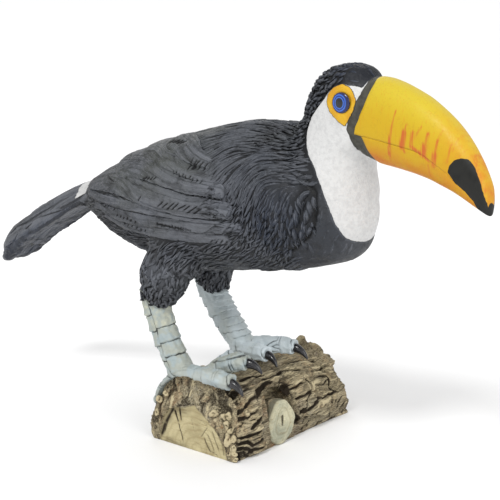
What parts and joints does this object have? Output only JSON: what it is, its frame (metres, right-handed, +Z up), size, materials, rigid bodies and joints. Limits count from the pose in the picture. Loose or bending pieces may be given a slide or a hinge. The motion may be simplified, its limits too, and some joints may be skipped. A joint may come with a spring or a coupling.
{
  "type": "cast-resin toucan statue on a log base",
  "caption": "Life-size still statue of a toco toucan, standing across a short half-round log with its big bill turned a little to one side.",
  "frame": {"origin": "middle of the log's flat underside, on the surface that the statue stands on", "axes": "+Z up, +X the way the bird faces, +Y to the bird's left, along the log"},
  "size_m": [0.5842, 0.1795, 0.3505],
  "materials": {
    "plumage_paint": "charcoal and blue-black acrylic brushed over sculpted resin, off-white on the bib and rump, yellow round the eyes",
    "bill_paint": "satin yellow to orange acrylic with soft red-orange streaks and a black patch near the tip",
    "eye_paint": "glossy blue rings round a dark pupil",
    "leg_paint": "pale blue-grey acrylic with a dark wash in the scutes",
    "claw_paint": "glossy black enamel",
    "bark_paint": "brown and tan bark, dry-brushed, dark in the furrows",
    "sawn_wood_paint": "cream sawn wood with ring lines"
  },
  "bodies": {
    "root": {"log": "bark_paint", "log_knot": "sawn_wood_paint", "trunk": "plumage_paint", "neck": "plumage_paint", "head": "plumage_paint", "wing_left": "plumage_paint", "wing_right": "plumage_paint", "tail": "plumage_paint", "thigh_left": "plumage_paint", "thigh_right": "plumage_paint", "bill_upper": "bill_paint", "bill_lower": "bill_paint", "eye_left": "eye_paint", "eye_right": "eye_paint", "shank_left": "leg_paint", "shank_right": "leg_paint", "foot_left": "leg_paint", "foot_right": "leg_paint", "claw_left_outer_front": "claw_paint", "claw_left_inner_front": "claw_paint", "claw_left_outer_back": "claw_paint", "claw_left_inner_back": "claw_paint", "claw_right_outer_front": "claw_paint", "claw_right_inner_front": "claw_paint", "claw_right_outer_back": "claw_paint", "claw_right_inner_back": "claw_paint"}
  },
  "joints": []
}
